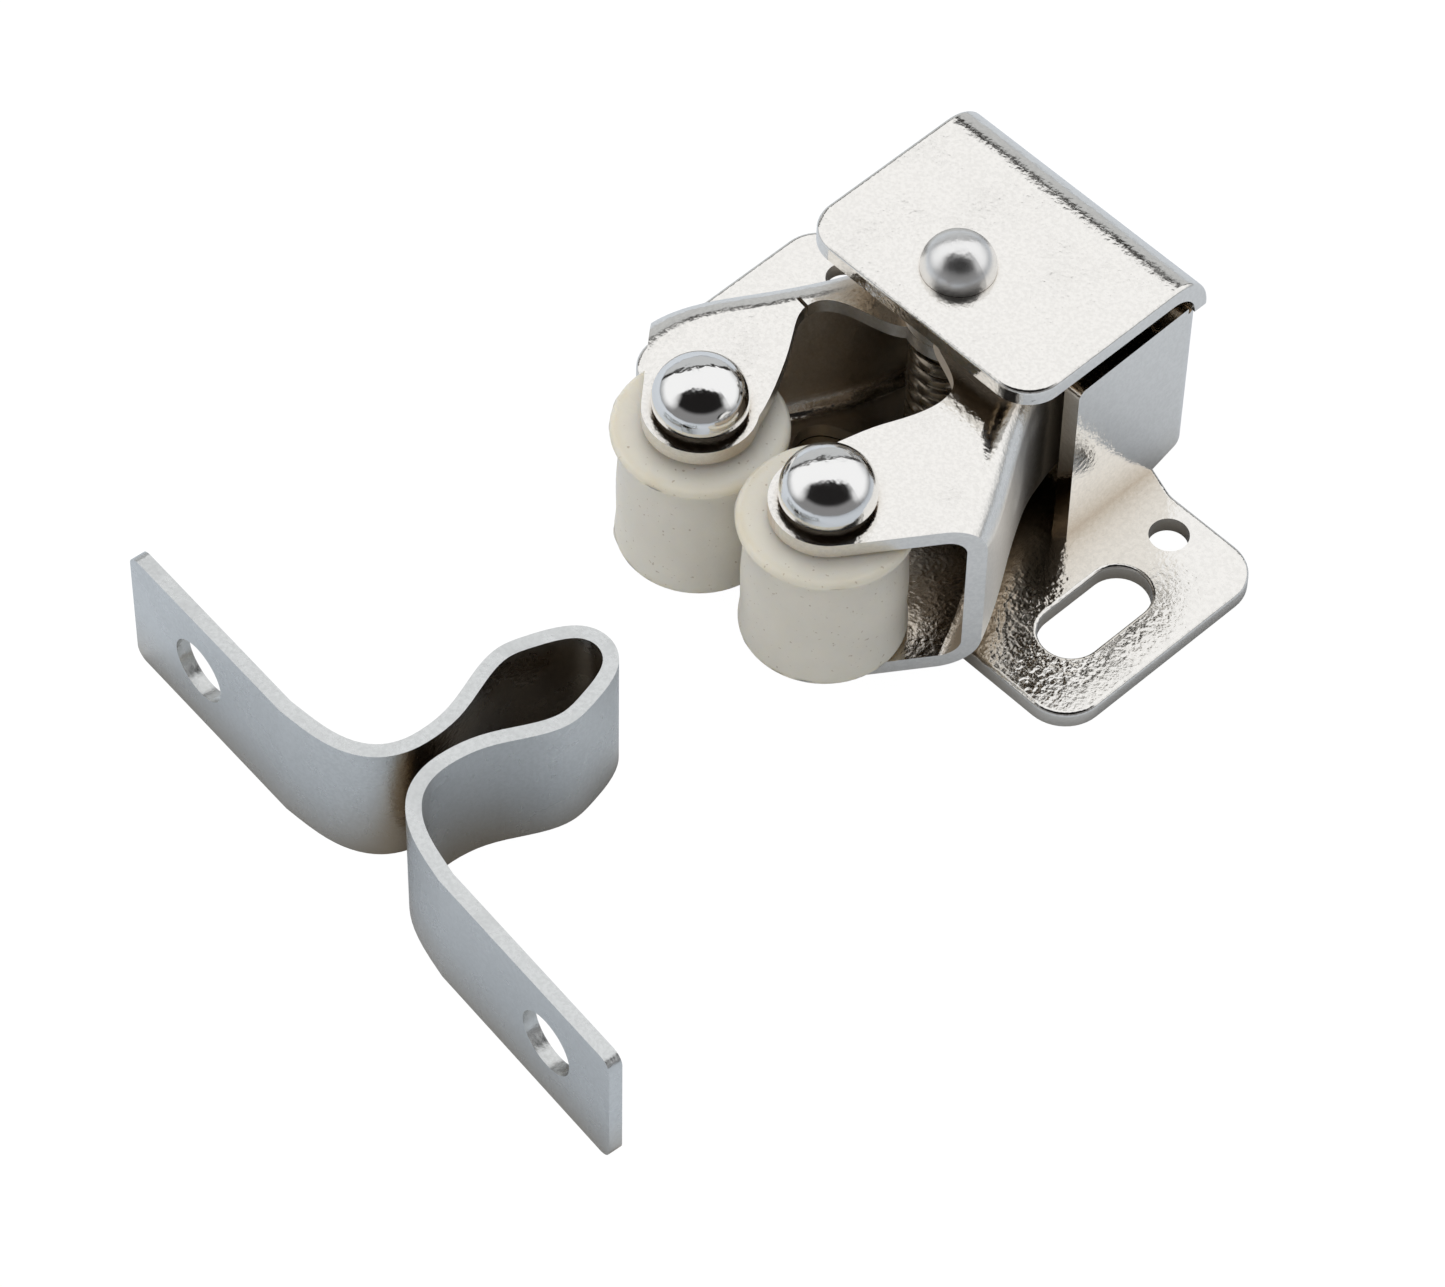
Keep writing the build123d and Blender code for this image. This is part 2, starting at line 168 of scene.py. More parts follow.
class CatchPlateSettings(bpy.types.PropertyGroup):
    """Colour and surface of the plated steel pieces."""

    plate_colour: bpy.props.FloatVectorProperty(
        name="Plate", description="Reflection colour of the bright nickel plate",
        subtype="COLOR", size=3, min=0.0, max=1.0, default=(0.90, 0.875, 0.83))
    rivet_colour: bpy.props.FloatVectorProperty(
        name="Rivet plate", description="Reflection colour of the polished rivet heads",
        subtype="COLOR", size=3, min=0.0, max=1.0, default=(0.88, 0.87, 0.85))
    strike_colour: bpy.props.FloatVectorProperty(
        name="Strike plate", description="Reflection colour of the satin strike",
        subtype="COLOR", size=3, min=0.0, max=1.0, default=(0.70, 0.71, 0.70))
    # Painted shade: the duller, browner plate colour deep inside folds
    recess_shade_colour: bpy.props.FloatVectorProperty(
        name="Recess", description="Duller, browner plate deep inside folds where the bath runs thin",
        subtype="COLOR", size=3, min=0.0, max=1.0, default=(0.50, 0.41, 0.30))
    film_colour: bpy.props.FloatVectorProperty(
        name="Film", description="Matt brown film on the inside of the open channel",
        subtype="COLOR", size=3, min=0.0, max=1.0, default=(0.56, 0.44, 0.31))
    # Painted shade: the near-black colour deep inside the channels, out of reach of light
    cavity_shade_colour: bpy.props.FloatVectorProperty(
        name="Cavity", description="Stained plate deep inside the channels, out of reach of light",
        subtype="COLOR", size=3, min=0.0, max=1.0, default=(0.085, 0.055, 0.03))
    wire_colour: bpy.props.FloatVectorProperty(
        name="Spring wire", description="Reflection colour of the oiled spring wire",
        subtype="COLOR", size=3, min=0.0, max=1.0, default=(0.27, 0.23, 0.18))
    pebble_size: bpy.props.FloatProperty(
        name="Pebble size", description="Spacing of the fine orange-peel pebbles in the plate",
        subtype="DISTANCE", unit="LENGTH", min=0.00005, max=0.002, default=0.00022)
    swell_size: bpy.props.FloatProperty(
        name="Swell size", description="Spacing of the slow waves in the pressed sheet",
        subtype="DISTANCE", unit="LENGTH", min=0.0005, max=0.02, default=0.0024)
    pebble_depth: bpy.props.FloatProperty(
        name="Pebble depth", description="Height of the pebbles in the plate",
        subtype="DISTANCE", unit="LENGTH", min=0.0, max=0.0001, default=0.000014)
    etched_place: bpy.props.FloatVectorProperty(
        name="Etched patch", description="Middle of the coarsely pebbled patch beside the right slot",
        subtype="XYZ", unit="LENGTH", size=3, default=(0.0106, -0.0042, 0.001))
    etched_reach: bpy.props.FloatProperty(
        name="Etched reach", description="Radius of the coarsely pebbled patch",
        subtype="DISTANCE", unit="LENGTH", min=0.0, max=0.02, default=0.0050)
    etched_gain: bpy.props.FloatProperty(
        name="Etched gain", description="How much deeper the coarse pebbles are in the patch",
        min=1.0, max=20.0, default=3.8)
    web_matt: bpy.props.FloatProperty(
        name="Matt webs", description="Extra roughness of the upright webs of the arms, drawn in the press",
        min=0.0, max=0.6, default=0.24)
    # How far into a fold the painted shade and the film reach
    recess_reach: bpy.props.FloatProperty(
        name="Recess reach", description="How far into a fold the duller plate reaches",
        subtype="DISTANCE", unit="LENGTH", min=0.0001, max=0.02, default=0.0080)


class CatchNylonSettings(bpy.types.PropertyGroup):
    """Colour and moulding marks of the two rollers."""

    nylon_colour: bpy.props.FloatVectorProperty(
        name="Nylon", description="Milky natural nylon of the rollers",
        subtype="COLOR", size=3, min=0.0, max=1.0, default=(0.72, 0.685, 0.605))
    rim_colour: bpy.props.FloatVectorProperty(
        name="Rim", description="Yellower nylon at the rims, where it is thin",
        subtype="COLOR", size=3, min=0.0, max=1.0, default=(0.66, 0.585, 0.45))
    speck_colour: bpy.props.FloatVectorProperty(
        name="Specks", description="Brown specks of dust moulded into the nylon",
        subtype="COLOR", size=3, min=0.0, max=1.0, default=(0.30, 0.20, 0.11))
    rim_band: bpy.props.FloatProperty(
        name="Rim band", description="Height of the yellower band at each rim",
        subtype="DISTANCE", unit="LENGTH", min=0.0001, max=0.003, default=0.0007)
    flash_proud: bpy.props.FloatProperty(
        name="Flash", description="How far the moulding flash stands proud of a rim",
        subtype="DISTANCE", unit="LENGTH", min=0.0, max=0.0003, default=0.00006)
    flash_thick: bpy.props.FloatProperty(
        name="Flash thickness", description="Thickness of the moulding flash",
        subtype="DISTANCE", unit="LENGTH", min=0.00002, max=0.0005, default=0.00010)
    rim_inset: bpy.props.FloatProperty(
        name="Rim inset", description="Height of the parting line above or below a roller's end face",
        subtype="DISTANCE", unit="LENGTH", min=0.0001, max=0.001, default=0.0003)


class CatchStageSettings(bpy.types.PropertyGroup):
    """Camera, floor, sky and lamps."""

    camera_azimuth: bpy.props.FloatProperty(
        name="Azimuth", description="Camera direction round the catch, 0 looks from the front",
        subtype="ANGLE", unit="ROTATION", default=math.radians(45.05))
    camera_elevation: bpy.props.FloatProperty(
        name="Elevation", description="Camera height above the floor as an angle",
        subtype="ANGLE", unit="ROTATION", default=math.radians(52.76))
    camera_roll: bpy.props.FloatProperty(
        name="Roll", description="Turn of the camera about its own line of sight",
        subtype="ANGLE", unit="ROTATION", default=math.radians(1.38))
    camera_distance: bpy.props.FloatProperty(
        name="Distance", description="From the camera to the point that it looks at",
        subtype="DISTANCE", unit="LENGTH", min=0.05, max=3.0, default=0.3252)
    camera_target: bpy.props.FloatVectorProperty(
        name="Look at", description="Point that the camera looks at",
        subtype="XYZ", unit="LENGTH", size=3, default=(0.00335, -0.01803, 0.006))
    camera_lens: bpy.props.FloatProperty(
        name="Lens", description="Focal length in millimetres on a 36 mm sensor",
        min=10.0, max=400.0, default=161.8)
    floor_colour: bpy.props.FloatVectorProperty(
        name="Floor", description="Pale blue-grey table that the plate reflects",
        subtype="COLOR", size=3, min=0.0, max=1.0, default=(0.69, 0.73, 0.78))
    bounce_colour: bpy.props.FloatVectorProperty(
        name="Bounce", description="Paler colour of the table in the light that it throws up",
        subtype="COLOR", size=3, min=0.0, max=1.0, default=(0.78, 0.78, 0.77))
    shadow_share: bpy.props.FloatProperty(
        name="Shadow share", description="How much of the white floor depends on the light",
        min=0.0, max=1.0, default=0.05)
    sky_strength: bpy.props.FloatProperty(
        name="Sky", description="Strength of the soft light from all round",
        min=0.0, max=3.0, default=0.52)
    key_power: bpy.props.FloatProperty(
        name="Key lamp", description="Power of the large soft lamp in watts",
        min=0.0, max=20.0, default=0.60)
    fill_power: bpy.props.FloatProperty(
        name="Fill lamp", description="Power of the small soft lamp in watts",
        min=0.0, max=20.0, default=0.33)


# Shader node helpers

def join(tree, source, target):
    """Links an output socket to an input socket, or sets the input to a plain value."""
    if isinstance(source, bpy.types.NodeSocket):
        tree.links.new(source, target)
    else:
        target.default_value = source


def add_node(tree, kind, **values):
    """Adds a node of one kind.

    A name that starts with a capital is an input socket, which takes a value or another node's socket.
    The rest are the node's own settings.
    """
    made = tree.nodes.new(kind)
    for name, value in values.items():
        if name[0].isupper():
            join(tree, value, made.inputs[name.replace("_", " ")])
        else:
            setattr(made, name, value)
    return made


def arithmetic(tree, operation, *values):
    """Math node on sockets or numbers; returns its output."""
    made = add_node(tree, "ShaderNodeMath", operation=operation)
    for place, value in enumerate(values):
        join(tree, value, made.inputs[place])
    return made.outputs[0]


def vector_math(tree, operation, output, first, second):
    """Vector Math node on sockets or triples; returns one of its outputs."""
    made = add_node(tree, "ShaderNodeVectorMath", operation=operation)
    join(tree, first, made.inputs[0])
    join(tree, second, made.inputs[1])
    return made.outputs[output]


def parts_of(tree, vector):
    """Separate XYZ node of a vector socket; returns its outputs."""
    made = add_node(tree, "ShaderNodeSeparateXYZ")
    join(tree, vector, made.inputs[0])
    return made.outputs


def object_place(tree):
    """Place on the object, in metres."""
    return add_node(tree, "ShaderNodeTexCoord").outputs["Object"]


def face_normal(tree):
    """Direction in which the face looks, as the outputs X, Y and Z."""
    return parts_of(tree, add_node(tree, "ShaderNodeNewGeometry").outputs["True Normal"])


def noise(tree, place, scale, detail, roughness):
    """Factor of a noise texture with scale cells per metre."""
    return add_node(tree, "ShaderNodeTexNoise", Vector=place, Scale=scale, Detail=detail,
                    Roughness=roughness).outputs["Fac"]


def openness(tree, reach):
    """Share of open sky within reach of a point: 1 on an open face, towards 0 deep in a fold."""
    return add_node(tree, "ShaderNodeAmbientOcclusion", samples=OPENNESS_SAMPLES,
                    Distance=reach).outputs["AO"]


def ease(tree, value, low, high, bottom=0.0, top=1.0):
    """Smooth step of a value from low to high, giving bottom to top."""
    return add_node(tree, "ShaderNodeMapRange", interpolation_type="SMOOTHSTEP", Value=value, From_Min=low,
                    From_Max=high, To_Min=bottom, To_Max=top).outputs["Result"]


def blend_colour(tree, share, first, second):
    """Colour that goes from first to second as share goes from 0 to 1."""
    made = add_node(tree, "ShaderNodeMix", data_type="RGBA", clamp_factor=True)
    join(tree, share, made.inputs[0])
    for place, value in ((6, first), (7, second)):
        join(tree, value if isinstance(value, bpy.types.NodeSocket) else (*value, 1.0), made.inputs[place])
    return made.outputs[2]


def add_relief(tree, shader, height, depth):
    """Bumps a shader's normal by a height socket times a depth in metres."""
    bump = add_node(tree, "ShaderNodeBump", Strength=1.0, Distance=depth, Height=height)
    join(tree, bump.outputs["Normal"], shader.inputs["Normal"])


# Shader node groups

def new_group(name, inputs, outputs):
    """Shader node group with number sockets; returns the tree and its two end nodes."""
    tree = bpy.data.node_groups.new(name, "ShaderNodeTree")
    for label, value in inputs:
        socket = tree.interface.new_socket(label, in_out="INPUT", socket_type="NodeSocketFloat")
        socket.default_value = value
    for label in outputs:
        tree.interface.new_socket(label, in_out="OUTPUT", socket_type="NodeSocketFloat")
    return tree, tree.nodes.new("NodeGroupInput"), tree.nodes.new("NodeGroupOutput")


def pebble_group():
    """Plated sheet: its height, from fine and coarse pebbles and slow swells, and a mask of its grain.

    Height is fine * patch + coarse * coarse share + swells * swell share, where patch follows the swells
    and makes the fine pebbles weaker in places. Grain is the fine pebbles with more contrast.
    """
    found = bpy.data.node_groups.get("pebbled_plate")
    if found:
        return found
    tree, given, result = new_group(
        "pebbled_plate", (("Pebbles per Metre", 3300.0), ("Swells per Metre", 400.0),
                          ("Swell Share", 2.0), ("Coarse Share", 1.0)), ("Height", "Grain"))
    place = object_place(tree)
    fineness = given.outputs["Pebbles per Metre"]
    fine = noise(tree, place, fineness, detail=3.0, roughness=0.6)
    coarse = noise(tree, place, arithmetic(tree, "MULTIPLY", fineness, COARSE_FINENESS),
                   detail=1.0, roughness=0.4)
    swells = noise(tree, place, given.outputs["Swells per Metre"], detail=1.0, roughness=0.4)
    patch = ease(tree, swells, 0.35, 0.65, bottom=0.45)
    height = arithmetic(tree, "ADD", arithmetic(tree, "MULTIPLY", fine, patch),
                        arithmetic(tree, "MULTIPLY", swells, given.outputs["Swell Share"]))
    height = arithmetic(tree, "ADD", height,
                        arithmetic(tree, "MULTIPLY", coarse, given.outputs["Coarse Share"]))
    join(tree, height, result.inputs["Height"])
    join(tree, ease(tree, fine, 0.38, 0.62), result.inputs["Grain"])
    return tree


def handling_group():
    """Masks of handling: smudges, and short fine scratches that all run about the same way."""
    found = bpy.data.node_groups.get("handling_marks")
    if found:
        return found
    tree, given, result = new_group(
        "handling_marks", (("Marks per Metre", 260.0),), ("Smudge", "Scratch"))
    place = object_place(tree)
    fineness = given.outputs["Marks per Metre"]
    stretched = add_node(tree, "ShaderNodeMapping", Vector=place, Rotation=(0.0, 0.0, SCRATCH_TURN),
                         Scale=SCRATCH_STRETCH).outputs["Vector"]
    smudges = noise(tree, place, fineness, detail=4.0, roughness=0.6)
    scratches = noise(tree, stretched, fineness, detail=3.0, roughness=0.7)
    join(tree, ease(tree, smudges, 0.45, 0.70), result.inputs["Smudge"])
    join(tree, ease(tree, scratches, 0.60, 0.72), result.inputs["Scratch"])
    return tree


def use_group(tree, group, **values):
    """Places a node group in a material with its own values."""
    return add_node(tree, "ShaderNodeGroup", node_tree=group, **values).outputs


# Materials

def new_material(name, colour):
    """Material with a plain Principled shader; returns the material, its tree and the shader."""
    material = bpy.data.materials.new(name)
    material.use_nodes = True
    material.diffuse_color = (*colour, 1.0)
    tree = material.node_tree
    return material, tree, tree.nodes["Principled BSDF"]


def plate_pebbles(tree, settings, etched):
    """Pebbled plate group; on etched sheet the coarse pebbles are deeper inside the etched patch."""
    coarse_share = 1.0
    if etched:
        away = vector_math(tree, "DISTANCE", "Value", object_place(tree), settings.etched_place)
        coarse_share = ease(tree, away, settings.etched_reach, settings.etched_reach * ETCHED_CORE,
                            bottom=1.0, top=settings.etched_gain)
    return use_group(
        tree, pebble_group(), Pebbles_per_Metre=1.0 / settings.pebble_size,
        Swells_per_Metre=1.0 / settings.swell_size, Swell_Share=SWELL_SHARE, Coarse_Share=coarse_share)


def plated_steel(name, colour, settings, roughness, pebble_share=1.0, recess_share=1.0, film_share=0.0,
                 upright_matt=0.0, outwards=0.0, etched=False):
    """Plated sheet: metal colour with painted shade in folds, pebbled surface, uneven gloss.

    roughness is its value on clean and on smudged plate. outwards is 1 or -1 for a channel whose inside
    is filmed and whose web faces out along x or against it, and 0 for other sheet.
    """
    material, tree, shader = new_material(name, colour)
    pebbles = plate_pebbles(tree, settings, etched)
    marks = use_group(tree, handling_group())
    # Folds: painted shade, the plate colour duller and browner the nearer the neighbouring walls, near
    # black deepest in
    # the cavities
    sky_share = openness(tree, settings.recess_reach)
    grained = blend_colour(tree, pebbles["Grain"], colour, [c * GRAIN_SHADE for c in colour])
    recess_shaded = blend_colour(tree, ease(tree, sky_share, *RECESS_SHADE_OPENNESS, top=recess_share),
                          grained, settings.recess_shade_colour)
    # Painted shade: near-black plate colour deep in the cavities
    base = blend_colour(tree, ease(tree, sky_share, *CAVITY_SHADE_OPENNESS, top=recess_share),
                        recess_shaded, settings.cavity_shade_colour)
    # Gloss: smudges and scratches scatter a little more light
    gloss = ease(tree, marks["Smudge"], 0.0, 1.0, *roughness)
    gloss = arithmetic(tree, "ADD", gloss,
                       arithmetic(tree, "MULTIPLY", marks["Scratch"], SCRATCH_ROUGHNESS))
    if film_share:
        # Film: matt and less like metal, deep in the channel and all over the inside of a filmed web
        film = ease(tree, sky_share, *FILM_OPENNESS, top=film_share)
        if outwards:
            lean = arithmetic(tree, "MULTIPLY", face_normal(tree)["X"], outwards)
            inner = ease(tree, lean, *INWARD_LEAN, top=film_share)
            film = arithmetic(tree, "MAXIMUM", inner, film)
            base = blend_colour(tree, inner, base, settings.film_colour)
        gloss = arithmetic(tree, "ADD", gloss, arithmetic(tree, "MULTIPLY", film, FILM_ROUGHNESS))
        join(tree, arithmetic(tree, "SUBTRACT", 1.0, film), shader.inputs["Metallic"])
    else:
        shader.inputs["Metallic"].default_value = 1.0
    if upright_matt:
        # Upright faces, drawn in the press, scatter more than flat ones
        level = arithmetic(tree, "ABSOLUTE", face_normal(tree)["Z"])
        gloss = arithmetic(tree, "ADD", gloss, ease(tree, level, *UPRIGHT_LEVEL, top=upright_matt))
    join(tree, base, shader.inputs["Base Color"])
    join(tree, gloss, shader.inputs["Roughness"])
    add_relief(tree, shader, pebbles["Height"], settings.pebble_depth * pebble_share)
    return material


def polished_rivet(name, settings, node, head_radius, roughness):
    """Polished head: near mirror, with small press marks round the crown of the node's dome."""
    material, tree, shader = new_material(name, settings.rivet_colour)
    shader.inputs["Metallic"].default_value = 1.0
    low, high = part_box(node)
    crown = ((low.x + high.x) / 2, (low.y + high.y) / 2, high.z)
    place = object_place(tree)
    away = vector_math(tree, "DISTANCE", "Value", place, crown)
    near_crown = ease(tree, away, *(head_radius * share for share in CROWN_SHARES))
    dents = noise(tree, place, DENTS_PER_METRE, detail=2.0, roughness=0.5)
    add_relief(tree, shader, arithmetic(tree, "MULTIPLY", dents, near_crown), DENT_DEPTH)
    marks = use_group(tree, handling_group(), Marks_per_Metre=RIVET_MARKS_PER_METRE)
    join(tree, ease(tree, marks["Smudge"], 0.0, 1.0, *roughness), shader.inputs["Roughness"])
    # Painted shade in the groove under the head
    groove_shade = ease(tree, openness(tree, settings.recess_reach * GROOVE_REACH), *GROOVE_OPENNESS, top=0.95)
    join(tree, blend_colour(tree, groove_shade, settings.rivet_colour, settings.cavity_shade_colour),
         shader.inputs["Base Color"])
    return material


def rim_mask(tree, place, low, high, band):
    """1 at both rims of an upright barrel with the box low to high, fading out over the band."""
    height = parts_of(tree, place)["Z"]
    core = band * RIM_CORE
    upper = ease(tree, height, high.z - band, high.z - core)
    lower = ease(tree, height, low.z + band, low.z + core)
    axis = ((low.x + high.x) / 2, (low.y + high.y) / 2, 0.0)
    flat = vector_math(tree, "MULTIPLY", "Vector", place, (1.0, 1.0, 0.0))
    radius = (high.x - low.x) / 2
    edge = ease(tree, vector_math(tree, "DISTANCE", "Value", flat, axis), radius - band, radius - core)
    return arithmetic(tree, "MULTIPLY", arithmetic(tree, "MAXIMUM", upper, lower), edge)


def moulded_nylon(name, settings, node):
    """Milky nylon: light passes in a little; cloudy, yellower at both rims, with specks of dust."""
    material, tree, shader = new_material(name, settings.nylon_colour)
    place = object_place(tree)
    rims = rim_mask(tree, place, *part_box(node), settings.rim_band)
    clouds = noise(tree, place, CLOUDS_PER_METRE, detail=4.0, roughness=0.6)
    cloudy = ease(tree, clouds, 0.35, 0.75)
    milky = blend_colour(tree, cloudy, settings.nylon_colour,
                         [c * CLOUD_SHADE for c in settings.nylon_colour])
    yellowed = arithmetic(tree, "MULTIPLY", rims, ease(tree, clouds, 0.3, 0.7, bottom=0.25, top=0.9))
    rimmed = blend_colour(tree, yellowed, milky, settings.rim_colour)
    specks = noise(tree, place, SPECKS_PER_METRE, detail=1.0, roughness=0.5)
    specks = ease(tree, specks, 0.70, 0.77, top=0.5)
    join(tree, blend_colour(tree, specks, rimmed, settings.speck_colour), shader.inputs["Base Color"])
    shader.inputs["Subsurface Weight"].default_value = NYLON_SCATTER_SHARE
    shader.inputs["Subsurface Radius"].default_value = NYLON_SCATTER_TINT
    shader.inputs["Subsurface Scale"].default_value = NYLON_SCATTER_DEPTH
    shader.inputs["IOR"].default_value = NYLON_IOR
    join(tree, ease(tree, cloudy, 0.0, 1.0, *NYLON_ROUGHNESS), shader.inputs["Roughness"])
    grain = noise(tree, place, NYLON_GRAINS_PER_METRE, detail=3.0, roughness=0.6)
    add_relief(tree, shader, arithmetic(tree, "MULTIPLY_ADD", clouds, FLOW_SHARE, grain), NYLON_GRAIN_DEPTH)
    return material


def spring_wire(settings):
    """Drawn wire under a film of oil: dark warm metal with fine drawing lines."""
    material, tree, shader = new_material("oiled_spring_wire", settings.wire_colour)
    shader.inputs["Metallic"].default_value = 1.0
    marks = use_group(tree, handling_group(), Marks_per_Metre=WIRE_MARKS_PER_METRE)
    join(tree, ease(tree, marks["Smudge"], 0.0, 1.0, *WIRE_ROUGHNESS), shader.inputs["Roughness"])
    oily = [c * OIL_SHADE for c in settings.wire_colour]
    join(tree, blend_colour(tree, marks["Smudge"], settings.wire_colour, oily), shader.inputs["Base Color"])
    add_relief(tree, shader, marks["Scratch"], DRAWING_DEPTH)
    return material


def paint(node, material):
    """Gives a CAD node its material."""
    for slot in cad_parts[node].material_slots:
        slot.material = material


# New pieces

def surface_object(name, points, closed_rows, closed_columns):
    """Mesh object from a grid of points (rows, columns, 3), with wrapped rows and columns where closed."""
    rows, columns = points.shape[:2]
    row = np.arange(rows if closed_rows else rows - 1)[:, None]
    column = np.arange(columns if closed_columns else columns - 1)[None, :]
    next_row = (row + 1) % rows
    next_column = (column + 1) % columns
    faces = np.stack(np.broadcast_arrays(
        row * columns + column, row * columns + next_column,
        next_row * columns + next_column, next_row * columns + column), axis=-1).reshape(-1, 4)
    mesh = bpy.data.meshes.new(name)
    mesh.from_pydata(points.reshape(-1, 3).tolist(), [], faces.tolist())
    mesh.polygons.foreach_set("use_smooth", np.ones(len(faces), dtype=bool))
    mesh.update()
    made = bpy.data.objects.new(name, mesh)
    bpy.context.scene.collection.objects.link(made)
    return made


def waves(angle, seed, strongest):
    """Sum of sines round a circle, from 2 up to strongest waves a turn, with seeded sizes and starts.

    At angle a it is the sum of s(n) * sin(n * a + p(n)) over n, divided by its own largest value, where
    s(n) is a random number from 0.3 to 1 over the square root of n and p(n) a random start.
    """
    random = np.random.default_rng(seed)
    count = np.arange(2, strongest + 1)
    size = random.uniform(0.3, 1.0, len(count)) / np.sqrt(count)
    start = random.uniform(0.0, 2.0 * np.pi, len(count))
    total = (size * np.sin(np.multiply.outer(angle, count) + start)).sum(axis=-1)
    return total / np.abs(total).max()


def flash_ring(name, centre, radius, height, proud, thick, seed):
    """Moulding flash round a roller rim.

    At angle a round the roller and angle b round the bead, the point lies at distance
    radius + proud * w(a) + thick * (0.6 + 0.4 * v(a)) * cos(b) from the roller's axis and at height
    height + thick * (0.6 + 0.4 * v(a)) * sin(b) / 2, where w and v are two seeded sums of sines.
    """
    turn = np.linspace(0.0, 2.0 * np.pi, RING_STEPS, endpoint=False)
    bead = np.linspace(0.0, 2.0 * np.pi, BEAD_STEPS, endpoint=False)
    reach = radius + proud * waves(turn, seed, PROUD_WAVES)
    bulk = thick * (0.6 + 0.4 * waves(turn, seed + 1, BULK_WAVES))
    out = reach[:, None] + bulk[:, None] * np.cos(bead)
    x = centre[0] + out * np.cos(turn)[:, None]
    y = centre[1] + out * np.sin(turn)[:, None]
    z = height + bulk[:, None] * np.sin(bead) / 2
    return surface_object(name, np.stack((x, y, z), axis=-1), True, True)


def reach_between(node, centre, low, high):
    """Widest reach of a node's vertices between two heights, from the upright line through centre."""
    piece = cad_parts[node]
    points = np.array([piece.matrix_world @ vertex.co for vertex in piece.data.vertices])
    points = points[(points[:, 2] >= low) & (points[:, 2] <= high)]
    return float(np.hypot(points[:, 0] - centre[0], points[:, 1] - centre[1]).max())


# Studio

def studio_floor(settings):
    """White floor to the camera with a faint soft shadow, and a blue-grey table to everything else."""
    material, tree, shader = new_material("studio_floor", settings.floor_colour)
    tree.nodes.remove(shader)
    path = add_node(tree, "ShaderNodeLightPath").outputs
    table = add_node(tree, "ShaderNodeBsdfDiffuse", Color=blend_colour(
        tree, path["Is Diffuse Ray"], settings.floor_colour, settings.bounce_colour))
    share = settings.shadow_share
    shadow = add_node(tree, "ShaderNodeBsdfDiffuse", Color=(share, share, share, 1.0))
    white = add_node(tree, "ShaderNodeEmission", Color=(*WHITE, 1.0), Strength=PAPER_LEVEL - share)
    paper = add_node(tree, "ShaderNodeAddShader")
    seen = add_node(tree, "ShaderNodeMixShader")
    for source, target in (
            (shadow.outputs[0], paper.inputs[0]), (white.outputs[0], paper.inputs[1]),
            (path["Is Camera Ray"], seen.inputs[0]), (table.outputs[0], seen.inputs[1]),
            (paper.outputs[0], seen.inputs[2]),
            (seen.outputs[0], tree.nodes["Material Output"].inputs["Surface"])):
        join(tree, source, target)
    return material


def mirrored_studio(tree, azimuth):
    """Colour of the studio that plate mirrors, by the direction in which the mirrored ray goes.

    It is a white tent with three marks: a dark window on the camera's side, a thin dark gap round the
    panel behind the catch, and that panel a little greyer than the tent.
    """
    direction = add_node(tree, "ShaderNodeTexCoord").outputs["Generated"]
    rise = parts_of(tree, direction)["Z"]
    # Tent: grey at the horizon, white towards the top
    tent = blend_colour(tree, ease(tree, rise, *TENT_RISE), TENT_GREY, TENT_WHITE)
    # Panel behind the catch, and the gap round its edge
    panel_azimuth = azimuth + PANEL_TURN
    panel = (-math.sin(panel_azimuth), math.cos(panel_azimuth), PANEL_RISE)
    behind = vector_math(tree, "DOT_PRODUCT", "Value", direction, panel)
    gap = arithmetic(tree, "MULTIPLY", ease(tree, behind, *GAP_OUTSIDE), ease(tree, behind, *GAP_INSIDE))
    tent = blend_colour(tree, ease(tree, behind, *PANEL_EDGE), tent, PANEL_GREY)
    tent = blend_colour(tree, gap, tent, GAP_DARK)
    # Window on the camera's side, wider at its foot
    facing = (math.sin(azimuth), -math.cos(azimuth), 0.0)
    across = (math.cos(azimuth), math.sin(azimuth), 0.0)
    towards = vector_math(tree, "DOT_PRODUCT", "Value", direction, facing)
    side = vector_math(tree, "DOT_PRODUCT", "Value", direction, across)
    spread = arithmetic(tree, "ADD", arithmetic(tree, "ABSOLUTE", side),
                        arithmetic(tree, "MULTIPLY", rise, WINDOW_TAPER))
    window = arithmetic(tree, "MULTIPLY", ease(tree, towards, *WINDOW_FRONT),
                        ease(tree, spread, *WINDOW_SIDE))
    window = arithmetic(tree, "MULTIPLY", window, ease(tree, rise, *WINDOW_FOOT))
    glass = blend_colour(tree, ease(tree, rise, *WINDOW_DUSK), WINDOW_GREY, WINDOW_DARK)
    return blend_colour(tree, window, tent, glass)


def studio_sky(settings):
    """Sky round the studio: white to the camera, the studio to mirrored rays, else an even soft light."""
    world = bpy.data.worlds.new("studio_sky")
    bpy.context.scene.world = world
    world.use_nodes = True
    tree = world.node_tree
    tree.nodes.clear()
    path = add_node(tree, "ShaderNodeLightPath").outputs
    even = [settings.sky_strength * c for c in SKY_TINT]
    lit = blend_colour(tree, path["Is Glossy Ray"], even, mirrored_studio(tree, settings.camera_azimuth))
    seen = arithmetic(tree, "MAXIMUM", path["Is Camera Ray"], path["Is Transmission Ray"])
    background = add_node(tree, "ShaderNodeBackground", Strength=1.0,
                          Color=blend_colour(tree, seen, lit, WHITE))
    end = add_node(tree, "ShaderNodeOutputWorld")
    join(tree, background.outputs[0], end.inputs["Surface"])


def soft_lamp(name, place, target, size, power):
    """Square white soft lamp that shines at the target and isn't mirrored in the plate."""
    data = bpy.data.lights.new(name, "AREA")
    data.shape = "SQUARE"
    data.size = size
    data.energy = power
    lamp = bpy.data.objects.new(name, data)
    bpy.context.scene.collection.objects.link(lamp)
    lamp.location = place
    lamp.rotation_euler = (target - place).to_track_quat("-Z", "Y").to_euler()
    lamp.visible_glossy = False


